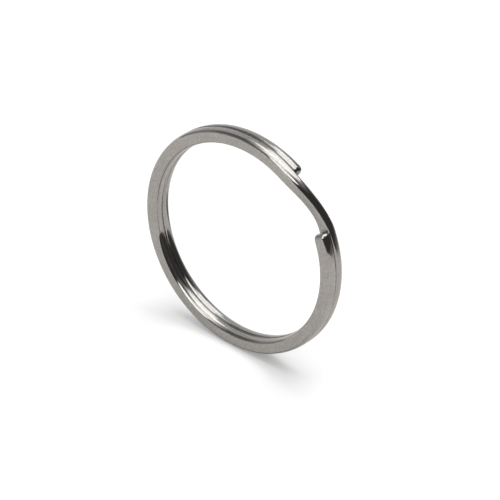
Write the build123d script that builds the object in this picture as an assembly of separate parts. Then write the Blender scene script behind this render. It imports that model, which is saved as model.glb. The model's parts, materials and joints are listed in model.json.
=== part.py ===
from build123d import *
from math import cos, radians, sin
import os

# Split key ring: one flattened spring wire wound as two turns that lie face to face.
#
# Frame: the ring stands upright. Its axis is Y, +Z is up, and the origin is the ring's
# centre, in the plane where the two turns touch. The front turn lies on the -Y side of
# that plane and the rear turn on the +Y side. Angles round the ring are in degrees in
# the XZ plane, from +X towards +Z.
#
# The wire starts at the front tip, runs once round the front turn with falling angle,
# steps to the rear turn through the crossover, and runs on the same way to the rear tip.
# The stretch next to each tip is a free end: it springs away from the other turn to let
# a key in. It meets the rest of its turn at a cut in a radial plane, where it bends.

# ---- Driving dimensions (mm, degrees) ----
OUTER_DIAMETER = 25.0
WIRE_WIDTH = 1.58           # along the ring's radius
WIRE_THICKNESS = 1.1        # of one turn, along the ring's axis
SHOWN_CORNER_WIDTH = 0.37   # rounding of the side that shows, along the ring's radius
SHOWN_CORNER_HEIGHT = 0.72  # the same, along the ring's axis
SEAT_CORNER_WIDTH = 0.45    # rounding of the side that lies on the other turn, as above
SEAT_CORNER_HEIGHT = 0.3
END_ROUNDING = 0.18         # worn edge round each cut end

FRONT_TIP_ANGLE = 28.5      # where the front turn's free end stops
REAR_TIP_ANGLE = 59.5       # where the rear turn's free end stops
CROSSOVER_TOP_ANGLE = 63.9  # where the wire leaves the front turn
CROSSOVER_TWIST = 22.0      # how far the wire rolls towards the front on its way across
FREE_END_ARC = 135.0        # length of each free end, from its tip to where it bends

REAR_TIP_LIFT = 0.1         # the rear tip stands this far off the front turn
REAR_LIFT_ARC = 67.5        # arc from the rear tip over which it lifts
LOFT_STEP = 3.0             # greatest arc between two sections of a lofted stretch

# ---- Worked out from them ----
OUTER_RADIUS = OUTER_DIAMETER / 2
MEAN_RADIUS = OUTER_RADIUS - WIRE_WIDTH / 2
FRONT_TURN_Y = -WIRE_THICKNESS / 2
REAR_TURN_Y = WIRE_THICKNESS / 2
FULL_TURN = 360.0

FRONT_BEND_ANGLE = FRONT_TIP_ANGLE - FREE_END_ARC
REAR_BEND_ANGLE = REAR_TIP_ANGLE + FREE_END_ARC
REAR_LIFT_ANGLE = REAR_TIP_ANGLE + REAR_LIFT_ARC


def wire_outline(rear_share):
    """The wire's section, drawn with x outward and y towards the front.

    Its corners are long on the side that shows and short on the side that lies on the
    other turn. rear_share is 0 in the front turn and 1 in the rear turn.
    """
    front_w = SHOWN_CORNER_WIDTH + (SEAT_CORNER_WIDTH - SHOWN_CORNER_WIDTH) * rear_share
    front_h = SHOWN_CORNER_HEIGHT + (SEAT_CORNER_HEIGHT - SHOWN_CORNER_HEIGHT) * rear_share
    rear_w = SHOWN_CORNER_WIDTH + SEAT_CORNER_WIDTH - front_w
    rear_h = SHOWN_CORNER_HEIGHT + SEAT_CORNER_HEIGHT - front_h
    side_x = WIRE_WIDTH / 2
    face_y = WIRE_THICKNESS / 2
    front_x, front_y = side_x - front_w, face_y - front_h
    rear_x, rear_y = side_x - rear_w, rear_h - face_y
    return make_face([
        EllipticalCenterArc((front_x, front_y), front_w, front_h, 0, arc_size=90),
        Line((front_x, face_y), (-front_x, face_y)),
        EllipticalCenterArc((-front_x, front_y), front_w, front_h, 90, arc_size=90),
        Line((-side_x, front_y), (-side_x, rear_y)),
        EllipticalCenterArc((-rear_x, rear_y), rear_w, rear_h, 180, arc_size=90),
        Line((-rear_x, -face_y), (rear_x, -face_y)),
        EllipticalCenterArc((rear_x, rear_y), rear_w, rear_h, 270, arc_size=90),
        Line((side_x, rear_y), (side_x, front_y)),
    ])


def wire_section(angle, y, rear_share, twist=0):
    """The wire's section, in the radial plane at an angle, with its middle at y."""
    outward = Vector(cos(radians(angle)), 0, sin(radians(angle)))
    along_wire = Vector(sin(radians(angle)), 0, -cos(radians(angle)))
    plane = Plane(
        origin=outward * MEAN_RADIUS + Vector(0, y, 0), x_dir=outward, z_dir=along_wire
    )
    return plane * Rot(0, 0, twist) * wire_outline(rear_share)


def flat_stretch(high_angle, low_angle, y, rear_share):
    """A stretch of wire that lies flat in one turn, from a higher angle to a lower one."""
    section = wire_section(high_angle, y, rear_share)
    return revolve(section, axis=Axis.Y, revolution_arc=high_angle - low_angle)


def rising_stretch(high_angle, low_angle, section_at):
    """A stretch of wire whose section changes with the angle, as section_at gives it."""
    spans = round((high_angle - low_angle) / LOFT_STEP) + 1
    step = (high_angle - low_angle) / spans
    return loft([section_at(high_angle - step * i) for i in range(spans + 1)])


def crossover_section(angle):
    """Section in the crossover: an S curve from the front turn to the rear turn.

    The wire rolls on the way, so its outer side turns towards the front. It starts to roll
    gently, and rolls back over a short stretch at the end.
    """
    done = (CROSSOVER_TOP_ANGLE - angle) / (CROSSOVER_TOP_ANGLE - FRONT_TIP_ANGLE)
    eased = done * done * (3 - 2 * done)
    y = FRONT_TURN_Y + (REAR_TURN_Y - FRONT_TURN_Y) * eased
    twist = CROSSOVER_TWIST * (1 - (1 - done) ** 4) ** 3 * (1 - done**8)
    return wire_section(angle, y, eased, twist)


def rear_tip_section(angle):
    """Section near the rear tip, which is sprung a little off the front turn."""
    from_tip = (angle - REAR_TIP_ANGLE) / REAR_LIFT_ARC
    return wire_section(angle, REAR_TURN_Y + REAR_TIP_LIFT * (1 - from_tip) ** 2, 1)


def round_end(stretch, end_section):
    """Rounds the edges of the cut end that has this section."""
    end_face = stretch.faces().sort_by_distance(end_section.center())[0]
    return fillet(end_face.edges(), END_ROUNDING)


def front_free_end():
    """The front turn's springy end, from its tip to where it bends."""
    stretch = flat_stretch(FRONT_TIP_ANGLE, FRONT_BEND_ANGLE, FRONT_TURN_Y, 0)
    return round_end(stretch, wire_section(FRONT_TIP_ANGLE, FRONT_TURN_Y, 0))


def rear_free_end():
    """The rear turn's springy end: flat from where it bends, then lifting to its tip."""
    lifting = rising_stretch(REAR_LIFT_ANGLE, REAR_TIP_ANGLE, rear_tip_section)
    flat = flat_stretch(REAR_BEND_ANGLE, REAR_LIFT_ANGLE, REAR_TURN_Y, 1)
    return round_end(lifting, rear_tip_section(REAR_TIP_ANGLE)) + flat


def front_turn():
    """The rest of the front turn, up to the crossover. The rear free end lies on it."""
    return flat_stretch(
        FRONT_BEND_ANGLE, CROSSOVER_TOP_ANGLE - FULL_TURN, FRONT_TURN_Y, 0
    )


def rear_turn():
    """The rest of the rear turn, from the crossover. The front free end lies on it."""
    return flat_stretch(FRONT_TIP_ANGLE + FULL_TURN, REAR_BEND_ANGLE, REAR_TURN_Y, 1)


def crossover():
    """The S-shaped step from the front turn to the rear turn."""
    return rising_stretch(CROSSOVER_TOP_ANGLE, FRONT_TIP_ANGLE, crossover_section)


nodes = {
    "front_free_end": front_free_end(),
    "front_turn": front_turn(),
    "crossover": crossover(),
    "rear_turn": rear_turn(),
    "rear_free_end": rear_free_end(),
}

os.makedirs("parts", exist_ok=True)
for name, solid in nodes.items():
    solid.label = name
    export_step(solid, f"parts/{name}.step")
    print(f"{name}: {solid.volume:.2f} mm3")
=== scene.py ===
import json
from math import atan2, cos, degrees, radians, sin

import bpy
import numpy as np
from mathutils import Matrix, Vector


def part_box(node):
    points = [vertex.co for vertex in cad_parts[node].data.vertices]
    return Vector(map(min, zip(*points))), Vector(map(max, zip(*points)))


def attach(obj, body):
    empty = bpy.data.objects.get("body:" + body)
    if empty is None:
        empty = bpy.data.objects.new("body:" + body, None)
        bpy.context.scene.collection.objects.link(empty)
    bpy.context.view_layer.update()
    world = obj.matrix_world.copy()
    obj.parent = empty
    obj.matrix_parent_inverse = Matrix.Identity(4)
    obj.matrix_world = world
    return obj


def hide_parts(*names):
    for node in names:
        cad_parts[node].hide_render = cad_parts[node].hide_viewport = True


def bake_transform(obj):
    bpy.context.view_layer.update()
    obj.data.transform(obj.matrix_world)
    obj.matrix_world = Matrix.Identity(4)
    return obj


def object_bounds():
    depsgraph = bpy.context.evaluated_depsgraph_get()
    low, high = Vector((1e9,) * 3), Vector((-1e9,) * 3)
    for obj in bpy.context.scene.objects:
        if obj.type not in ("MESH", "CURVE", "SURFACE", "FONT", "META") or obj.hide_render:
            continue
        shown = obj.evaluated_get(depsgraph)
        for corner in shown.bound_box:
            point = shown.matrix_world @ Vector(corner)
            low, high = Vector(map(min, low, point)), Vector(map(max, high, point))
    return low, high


# A split key ring: one flattened spring wire wound as two turns that lie face to face.
# Everything is in metres, in the CAD's frame: the ring's axis is Y, its front turn lies
# on the -Y side, and +Z is up. Angles round the ring are in degrees, from +X towards +Z,
# and the wire runs with falling angle from the front tip to the rear tip.
MM = 0.001

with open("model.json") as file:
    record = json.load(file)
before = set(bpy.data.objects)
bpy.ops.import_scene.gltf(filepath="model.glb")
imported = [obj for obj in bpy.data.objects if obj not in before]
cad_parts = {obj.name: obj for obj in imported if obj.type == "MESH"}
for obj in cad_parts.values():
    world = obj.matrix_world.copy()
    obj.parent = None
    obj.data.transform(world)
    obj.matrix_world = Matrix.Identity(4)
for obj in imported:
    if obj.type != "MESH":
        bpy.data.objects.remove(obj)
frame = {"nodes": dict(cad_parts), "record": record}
cad_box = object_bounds()
mounts = {m["name"]: m for m in frame["record"]["mounts"]}

# ---- Sizes that come from the CAD ----
OUTER_RADIUS = -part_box("front_turn")[0][0]
WIRE_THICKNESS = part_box("front_turn")[1][1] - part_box("front_turn")[0][1]
INNER_RADIUS = mounts["hang_point"]["pos_m"][2]
WIRE_WIDTH = OUTER_RADIUS - INNER_RADIUS
MEAN_RADIUS = OUTER_RADIUS - WIRE_WIDTH / 2
REAR_TIP_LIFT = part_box("rear_free_end")[1][1] - WIRE_THICKNESS

# ---- Sizes that repeat the CAD's ----
SHOWN_CORNER_WIDTH = 0.37 * MM   # rounding of the side that shows, along the radius
SHOWN_CORNER_HEIGHT = 0.72 * MM  # the same, along the ring's axis
SEAT_CORNER_WIDTH = 0.45 * MM    # rounding of the side that lies on the other turn
SEAT_CORNER_HEIGHT = 0.30 * MM
CROSSOVER_TWIST = radians(22)    # how far the wire rolls towards the front
REAR_LIFT_ARC = 67.5             # arc from the rear tip over which it lifts

# ---- Sizes of the visual model ----
END_ROUNDING = 0.36 * MM  # worn edge round each tip, measured across the wire
END_REACH = 0.55 * MM     # the same, measured along the wire
FLEX_ARC = 180.0          # a free end is its own piece over this much arc next to its tip
ARC_STEP = 1.5            # arc between two outlines of the wire's surface
CORNER_POINTS = 16        # points round each of the section's four corners
TIP_OUTLINES = 9          # outlines round the worn edge of a tip
FLAT_POWER = 30           # the greater, the more abruptly a satin face ends at its edge


def angle_of(point):
    return degrees(atan2(point[2], point[0]))


FRONT_TIP_ANGLE = angle_of(mounts["front_key_entry"]["pos_m"])
REAR_TIP_ANGLE = angle_of(mounts["rear_key_entry"]["pos_m"])
CROSSOVER_TOP_ANGLE = max(angle_of(v.co) for v in frame["nodes"]["crossover"].data.vertices)

# Places along the wire, in degrees of arc from the front tip
FRONT_TIP = 0.0
CROSSOVER_START = FRONT_TIP_ANGLE + 360 - CROSSOVER_TOP_ANGLE
CROSSOVER_END = 360.0
REAR_TIP = 720 + FRONT_TIP_ANGLE - REAR_TIP_ANGLE


# ---- The wire ----
def crossed(arc):
    """How much of the crossover lies behind this place, from 0 to 1."""
    return np.clip((arc - CROSSOVER_START) / (CROSSOVER_END - CROSSOVER_START), 0, 1)


def centre_y(arc):
    """The middle of the wire along the ring's axis."""
    done = crossed(arc)
    eased = done * done * (3 - 2 * done)
    from_tip = np.clip((REAR_TIP - arc) / REAR_LIFT_ARC, 0, 1)
    return WIRE_THICKNESS * (eased - 0.5) + REAR_TIP_LIFT * (1 - from_tip) ** 2


def directions(arc):
    """Outward from the ring's centre, and along the wire, at a place along it."""
    angle = radians(FRONT_TIP_ANGLE - arc)
    return np.array([cos(angle), 0, sin(angle)]), np.array([sin(angle), 0, -cos(angle)])


def middle(arc):
    """The middle of the wire at a place along it."""
    return directions(arc)[0] * MEAN_RADIUS + np.array([0, centre_y(arc), 0])


def section(arc):
    """The wire's rounded section at a place along it.

    Gives its points (outward, rearward), its normals there, and how flat it is there, from
    0 on the edges to 1 on the faces. Its corners are tall on the side that shows and low on
    the side that lies on the other turn. In the crossover it rolls towards the front and
    back again.
    """
    done = crossed(arc)
    rear_share = done * done * (3 - 2 * done)
    twist = -CROSSOVER_TWIST * (1 - (1 - done) ** 4) ** 3 * (1 - done**8)
    roll = np.array([[cos(twist), sin(twist)], [-sin(twist), cos(twist)]])
    points, normals = [], []
    for start, outward, rearward in ((0, 1, 1), (90, -1, 1), (180, -1, -1), (270, 1, -1)):
        shown = rear_share if rearward > 0 else 1 - rear_share
        width = SEAT_CORNER_WIDTH + (SHOWN_CORNER_WIDTH - SEAT_CORNER_WIDTH) * shown
        height = SEAT_CORNER_HEIGHT + (SHOWN_CORNER_HEIGHT - SEAT_CORNER_HEIGHT) * shown
        x = outward * (WIRE_WIDTH / 2 - width)
        y = rearward * (WIRE_THICKNESS / 2 - height)
        for turn in np.radians(np.linspace(start, start + 90, CORNER_POINTS)):
            points.append((x + width * cos(turn), y + height * sin(turn)))
            normals.append((cos(turn) / width, sin(turn) / height))
    points, normals = np.array(points), np.array(normals)
    normals /= np.linalg.norm(normals, axis=1)[:, None]
    flat = np.abs(normals[:, 1]) ** FLAT_POWER
    return points @ roll, normals @ roll, flat


def outline(arc, lean=0.0, inset=0.0, shrink=1.0, ahead=0.0):
    """One outline of the wire's surface: points, normals, place along the wire, flatness.

    At a tip it can be inset, shrunk and moved ahead along the wire, and its normals can
    lean along the wire.
    """
    points, flat_normals, flat = section(arc)
    points = points * (1 - inset / np.array([WIRE_WIDTH / 2, WIRE_THICKNESS / 2]))
    out, along = directions(arc)
    to_rear = np.array([0, 1, 0])
    small = 0.01
    rise = (centre_y(arc + small) - centre_y(arc - small)) / radians(2 * small)
    back = -flat_normals[:, 1:] * rise / (MEAN_RADIUS + points[:, :1])
    side = flat_normals[:, :1] * out + flat_normals[:, 1:] * to_rear + back * along
    side /= np.linalg.norm(side, axis=1)[:, None]
    points = points * shrink
    placed = middle(arc) + along * ahead + points[:, :1] * out + points[:, 1:] * to_rear
    return placed, side * cos(lean) + along * sin(lean), arc, flat


def tip(arc, sign):
    """Outlines of a cut end, from the side of the wire to near the middle of the end face.

    sign is 1 where the wire stops and -1 where it starts.
    """
    outlines = []
    for turn in np.radians(np.linspace(0, 90, TIP_OUTLINES)):
        lean = atan2(sin(turn) / END_REACH, cos(turn) / END_ROUNDING)
        inset = END_ROUNDING * (1 - cos(turn))
        ahead = -sign * END_REACH * (1 - sin(turn))
        outlines.append(outline(arc, sign * lean, inset, ahead=ahead))
    for shrink in (0.75, 0.5, 0.25):
        outlines.append(outline(arc, sign * radians(90), END_ROUNDING, shrink))
    return outlines


def skin(rows, count, starts_at_tip, ends_at_tip):
    """Faces between outlines of so many points each, and over the middle of an end face."""
    faces = []
    for i in range(rows - 1):
        here, ahead = i * count, (i + 1) * count
        for j in range(count):
            k = (j + 1) % count
            faces.append((here + k, here + j, ahead + j, ahead + k))
    if starts_at_tip:
        faces.append(tuple(range(count)))
    if ends_at_tip:
        faces.append(tuple(reversed(range((rows - 1) * count, rows * count))))
    return faces


def wire(name, start, end, material):
    """A stretch of wire between two places along it, with a cut end where it has a tip."""
    starts_at_tip, ends_at_tip = start == FRONT_TIP, end == REAR_TIP
    clear_arc = 1.5 * degrees(END_REACH / MEAN_RADIUS)  # stays clear of the worn edge
    first = start + clear_arc if starts_at_tip else start
    last = end - clear_arc if ends_at_tip else end
    steps = round((end - start) / ARC_STEP)
    outlines = [outline(arc) for arc in np.linspace(first, last, steps + 1)]
    if starts_at_tip:
        outlines = tip(start, -1)[::-1] + outlines
    if ends_at_tip:
        outlines = outlines + tip(end, 1)
    points, normals, arcs, flat = zip(*outlines)
    count = len(points[0])

    mesh = bpy.data.meshes.new(name)
    faces = skin(len(outlines), count, starts_at_tip, ends_at_tip)
    mesh.from_pydata(np.concatenate(points).tolist(), [], faces)
    mesh.update()
    mesh.polygons.foreach_set("use_smooth", [True] * len(mesh.polygons))
    mesh.normals_split_custom_set_from_vertices(np.concatenate(normals).tolist())
    flatness = mesh.attributes.new("face_flat", "FLOAT", "POINT")
    flatness.data.foreach_set("value", np.concatenate(flat))

    # The UV map measures along and across the wire in millimetres
    sides = np.linalg.norm(np.diff(section(FRONT_TIP)[0], axis=0), axis=1)
    across = np.tile(np.concatenate([[0], np.cumsum(sides)]), len(outlines))
    along = np.radians(np.repeat(arcs, count)) * MEAN_RADIUS
    vertex = np.zeros(len(mesh.loops), int)
    mesh.loops.foreach_get("vertex_index", vertex)
    uv = mesh.uv_layers.new(name="UVMap")
    uv.data.foreach_set("uv", np.column_stack([along, across])[vertex].ravel() / MM)

    mesh.materials.append(material)
    obj = bpy.data.objects.new(name, mesh)
    bpy.context.scene.collection.objects.link(obj)
    return obj


# ---- Materials ----
class Nodes:
    """Small helpers to write a node tree as expressions."""

    def __init__(self, tree):
        self.tree = tree
        tree.nodes.clear()

    def add(self, kind, **settings):
        node = self.tree.nodes.new(kind)
        for key, value in settings.items():
            setattr(node, key, value)
        return node

    def put(self, value, socket):
        if isinstance(value, bpy.types.NodeSocket):
            self.tree.links.new(value, socket)
        else:
            socket.default_value = value

    def math(self, operation, a, b=None):
        node = self.add("ShaderNodeMath", operation=operation)
        self.put(a, node.inputs[0])
        if b is not None:
            self.put(b, node.inputs[1])
        return node.outputs[0]

    def smooth(self, value, low, high):
        """0 at low, 1 at high, and smooth between them. low may be the greater one."""
        node = self.add("ShaderNodeMapRange", interpolation_type="SMOOTHSTEP")
        self.put(value, node.inputs["Value"])
        self.put(low, node.inputs["From Min"])
        self.put(high, node.inputs["From Max"])
        return node.outputs["Result"]

    def band(self, value, low, high, soft):
        """1 between low and high, 0 outside, with soft edges."""
        rise = self.smooth(value, low - soft / 2, low + soft / 2)
        fall = self.smooth(value, high - soft / 2, high + soft / 2)
        return self.math("SUBTRACT", rise, fall)

    def mix(self, factor, a, b):
        """A colour between two colours."""
        node = self.add("ShaderNodeMix", data_type="RGBA")
        self.put(factor, node.inputs["Factor"])
        self.put(a, node.inputs[6])
        self.put(b, node.inputs[7])
        return node.outputs[2]

    def mix_value(self, factor, a, b):
        """A number between two numbers."""
        node = self.add("ShaderNodeMix", data_type="FLOAT")
        self.put(factor, node.inputs["Factor"])
        self.put(a, node.inputs[2])
        self.put(b, node.inputs[3])
        return node.outputs[0]

    def noise(self, vector, scale, detail, roughness):
        node = self.add("ShaderNodeTexNoise")
        self.put(vector, node.inputs["Vector"])
        self.put(scale, node.inputs["Scale"])
        self.put(detail, node.inputs["Detail"])
        self.put(roughness, node.inputs["Roughness"])
        return node.outputs["Fac"]

    def scaled(self, vector, scale):
        node = self.add("ShaderNodeVectorMath", operation="MULTIPLY")
        self.put(vector, node.inputs[0])
        self.put(scale, node.inputs[1])
        return node.outputs[0]

    def distance(self, vector, point):
        node = self.add("ShaderNodeVectorMath", operation="DISTANCE")
        self.put(vector, node.inputs[0])
        self.put(point, node.inputs[1])
        return node.outputs["Value"]

    def split(self, vector):
        node = self.add("ShaderNodeSeparateXYZ")
        self.put(vector, node.inputs[0])
        return node.outputs

    def camera_ray(self):
        """1 where the camera looks straight at it, 0 where it is mirrored or gives light."""
        return self.add("ShaderNodeLightPath").outputs["Is Camera Ray"]


def nickel():
    """Nickel plated spring steel: satin, finely brushed flat faces and bright edges."""
    material = bpy.data.materials.new("nickel")
    material.use_nodes = True
    n = Nodes(material.node_tree)
    uv = n.add("ShaderNodeUVMap", uv_map="UVMap").outputs[0]
    position = n.add("ShaderNodeTexCoord").outputs["Object"]
    flat = n.add("ShaderNodeAttribute", attribute_name="face_flat").outputs["Fac"]

    # Brushed lines that run along the wire, a fine grain, and faint clouds in the plating
    lines = n.noise(n.scaled(uv, (0.9, 34.0, 1.0)), 1.0, detail=3.0, roughness=0.6)
    grain = n.noise(position, 5200.0, detail=2.0, roughness=0.6)
    cloud = n.noise(position, 420.0, detail=3.0, roughness=0.5)

    tone = n.math("ADD", n.math("MULTIPLY", lines, 0.35), n.math("MULTIPLY", grain, 0.65))
    dull, clean, clouded = (0.37, 0.359, 0.344, 1), (0.55, 0.535, 0.515, 1), (0.40, 0.382, 0.362, 1)
    colour = n.mix(n.smooth(tone, 0.3, 0.7), dull, clean)
    colour = n.mix(n.math("MULTIPLY", n.smooth(cloud, 0.35, 0.7), 0.35), colour, clouded)

    satin = n.mix_value(lines, 0.30, 0.42)
    bright = n.mix_value(cloud, 0.05, 0.11)
    bump = n.add("ShaderNodeBump")
    n.put(n.mix_value(flat, 0.02, 0.10), bump.inputs["Strength"])
    n.put(0.02 * MM, bump.inputs["Distance"])
    n.put(n.math("ADD", lines, n.math("MULTIPLY", grain, 0.6)), bump.inputs["Height"])

    shader = n.add("ShaderNodeBsdfPrincipled")
    n.put(colour, shader.inputs["Base Color"])
    n.put(1.0, shader.inputs["Metallic"])
    n.put(n.mix_value(flat, bright, satin), shader.inputs["Roughness"])
    n.put(bump.outputs[0], shader.inputs["Normal"])
    n.put(shader.outputs[0], n.add("ShaderNodeOutputMaterial").inputs["Surface"])
    return material


def paper(level):
    """White paper at a level, with painted shade and a painted streak of light that only the metal
    mirrors, and an even painted glow that the camera sees. What the metal mirrors of it is darker than
    what is seen.
    """
    material = bpy.data.materials.new("paper")
    material.use_nodes = True
    n = Nodes(material.node_tree)
    seen = n.camera_ray()
    position = n.add("ShaderNodeNewGeometry").outputs["Position"]
    x, y, _ = n.split(position)

    # Painted shade, seen only in what the metal mirrors: the paper darkens far off behind the ring, on
    # the right, and in one spot close behind it, so the metal shows dark reflections there
    right_side = n.math("ADD", x, n.math("MULTIPLY", y, 0.35))
    far_off = n.smooth(y, 34 * MM, 110 * MM)
    painted_shade_far_right = n.math("MULTIPLY", far_off, n.smooth(right_side, -5 * MM, 10 * MM))
    from_spot = n.distance(position, (-2 * MM, 25 * MM, level))
    painted_shade = n.math("MAXIMUM", painted_shade_far_right, n.smooth(from_spot, 8.5 * MM, 5.5 * MM))
    mirrored_with_painted_shade = n.mix(painted_shade, (0.55, 0.535, 0.52, 1), (0.13, 0.126, 0.122, 1))
    shader = n.add("ShaderNodeBsdfDiffuse")
    n.put(n.mix(seen, mirrored_with_painted_shade, (0.62, 0.62, 0.62, 1)), shader.inputs["Color"])

    # Painted light on the paper, seen only in the metal: a glowing streak that runs forwards and to the
    # left, as window light would lie on it. To the camera the paper instead glows evenly, a painted glow
    # that lightens its shadow
    start, slope, half_width = 7 * MM, 0.29, 8 * MM
    ahead = n.math("MULTIPLY", y, -1.0)
    centre_line = n.math("SUBTRACT", start, n.math("MULTIPLY", ahead, slope))
    aside = n.math("ABSOLUTE", n.math("SUBTRACT", x, centre_line))
    across = n.smooth(aside, half_width * 1.2, half_width * 0.8)
    painted_light_streak = n.math("MULTIPLY", across, n.band(ahead, 60 * MM, 160 * MM, 3 * MM))
    painted_glow = n.add("ShaderNodeEmission")
    n.put(n.mix_value(seen, n.math("MULTIPLY", painted_light_streak, 3.0), 0.25), painted_glow.inputs["Strength"])

    both = n.add("ShaderNodeAddShader")
    n.put(shader.outputs[0], both.inputs[0])
    n.put(painted_glow.outputs[0], both.inputs[1])
    n.put(both.outputs[0], n.add("ShaderNodeOutputMaterial").inputs["Surface"])
    return material


# ---- The ring ----
metal = nickel()
front_end = wire("front_free_end_wire", FRONT_TIP, FLEX_ARC, metal)
body = wire("ring_wire", FLEX_ARC, REAR_TIP - FLEX_ARC, metal)
rear_end = wire("rear_free_end_wire", REAR_TIP - FLEX_ARC, REAR_TIP, metal)
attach(body, "ring")
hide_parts("front_turn", "crossover", "rear_turn")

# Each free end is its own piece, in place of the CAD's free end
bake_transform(front_end)
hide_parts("front_free_end")
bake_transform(rear_end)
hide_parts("rear_free_end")

# ---- Floor, which the ring stands on ----
FLOOR_HALF = 3.0
FLOOR_LEVEL = cad_box[0][2]
corners = [(x * FLOOR_HALF, y * FLOOR_HALF, FLOOR_LEVEL) for x, y in ((-1, -1), (1, -1), (1, 1), (-1, 1))]
mesh = bpy.data.meshes.new("floor")
mesh.from_pydata(corners, [], [(0, 1, 2, 3)])
mesh.materials.append(paper(FLOOR_LEVEL))
floor = bpy.data.objects.new("floor", mesh)
bpy.context.scene.collection.objects.link(floor)


# ---- Studio ----
def studio_room():
    """The room that the metal mirrors, by azimuth from the front and by elevation.

    It has a softbox overhead, a slanted window in front and one behind, a lit wall behind
    on the left, and a dark wall on the right. To the camera it is plain white.
    """
    world = bpy.data.worlds.new("studio")
    world.use_nodes = True
    n = Nodes(world.node_tree)
    x, y, z = n.split(n.add("ShaderNodeTexCoord").outputs["Generated"])
    azimuth = n.math("DEGREES", n.math("ARCTAN2", x, n.math("MULTIPLY", y, -1.0)))
    elevation = n.math("DEGREES", n.math("ARCSINE", z))

    def patch(light, azimuths, elevations, radiance, soft, slant=0.0):
        """Puts a light or a dark thing over a range of azimuths and elevations."""
        low, high = elevations
        rise = n.math("SUBTRACT", elevation, n.math("MULTIPLY", azimuth, slant))
        foot = n.smooth(rise, low - soft / 2, low + soft / 2)
        head = n.math("SUBTRACT", 1.0, n.smooth(elevation, high - soft / 2, high + soft / 2))
        sides = n.band(azimuth, *azimuths, soft)
        return n.mix_value(n.math("MULTIPLY", sides, n.math("MULTIPLY", foot, head)), light, radiance)

    def dome(light, low, high, radiance):
        """Puts a light over everything overhead, from full at high to none at low."""
        return n.mix_value(n.smooth(elevation, low, high), light, radiance)

    light = 0.42
    # Walls: left, back left, and the dark one on the right
    light = patch(light, (-104, -24), (28, 100), 0.22, soft=12)
    light = patch(light, (-200, -104), (-90, 30), 0.80, soft=14)
    light = patch(light, (-200, -104), (30, 100), 0.72, soft=14)
    light = patch(light, (-158, -136), (-90, 14), 0.95, soft=8)
    light = patch(light, (160, 200), (-90, 100), 0.45, soft=10)
    light = patch(light, (-200, -166), (-90, 32), 0.40, soft=8)
    light = patch(light, (26, 162), (-90, 100), 0.07, soft=10)
    light = patch(light, (50, 135), (47, 100), 0.28, soft=10)
    # Ceiling, and the edges of the softbox over the front and over the back
    light = dome(light, 58, 72, 1.0)
    light = patch(light, (-42, 60), (60, 100), 1.7, soft=20)
    light = patch(light, (118, 200), (56, 100), 2.9, soft=16)
    light = patch(light, (-200, -130), (56, 100), 2.9, soft=16)
    # Window behind
    light = patch(light, (162, 200), (40, 60), 2.4, soft=8)
    light = patch(light, (142, 200), (46, 60), 2.4, soft=8)
    light = patch(light, (-200, -160), (34, 60), 2.4, soft=8)
    # Window in front, over a dark sill, and the middle of the softbox
    light = patch(light, (-22, 30), (2, 30), 0.05, soft=4)
    light = patch(light, (-14, 58), (18, 60), 2.7, soft=5, slant=0.5)
    light = dome(light, 70, 82, 2.5)

    back = n.add("ShaderNodeBackground")
    n.put(n.mix_value(n.camera_ray(), light, 1.25), back.inputs["Strength"])
    n.put(back.outputs[0], n.add("ShaderNodeOutputWorld").inputs["Surface"])
    return world


bpy.context.scene.world = studio_room()

# The softbox as a lamp, which throws the soft shadow. The metal mirrors the room instead.
lamp = bpy.data.lights.new("softbox", "AREA")
lamp.shape = "DISK"
lamp.size = 1.0
lamp.energy = 7.0
softbox = bpy.data.objects.new("softbox", lamp)
softbox.location = (0.0, 0.07, 1.0)
softbox.rotation_euler = (radians(-4), 0, 0)
softbox.visible_glossy = False
bpy.context.scene.collection.objects.link(softbox)

# ---- Camera ----
AZIMUTH, ELEVATION, ROLL = radians(37.97), radians(32.0), radians(4.28)
DISTANCE = 250.0 * MM
OFFSET_RIGHT, OFFSET_UP = 0.820 * MM, -1.012 * MM
to_camera = Vector((
    sin(AZIMUTH) * cos(ELEVATION),
    -cos(AZIMUTH) * cos(ELEVATION),
    sin(ELEVATION),
))
level_right = Vector((cos(AZIMUTH), sin(AZIMUTH), 0))
level_up = to_camera.cross(level_right)
right = level_right * cos(ROLL) + level_up * sin(ROLL)
up = level_up * cos(ROLL) - level_right * sin(ROLL)
lens = bpy.data.cameras.new("camera")
lens.lens = 174.46
lens.sensor_width = 36.0
lens.clip_start = 0.01
lens.clip_end = 10.0
camera = bpy.data.objects.new("camera", lens)
place = to_camera * DISTANCE + right * OFFSET_RIGHT + up * OFFSET_UP
turned = Matrix((right, up, to_camera)).transposed().to_4x4()
camera.matrix_world = Matrix.Translation(place) @ turned
bpy.context.scene.collection.objects.link(camera)
bpy.context.scene.camera = camera
bpy.context.scene.view_settings.view_transform = "Standard"
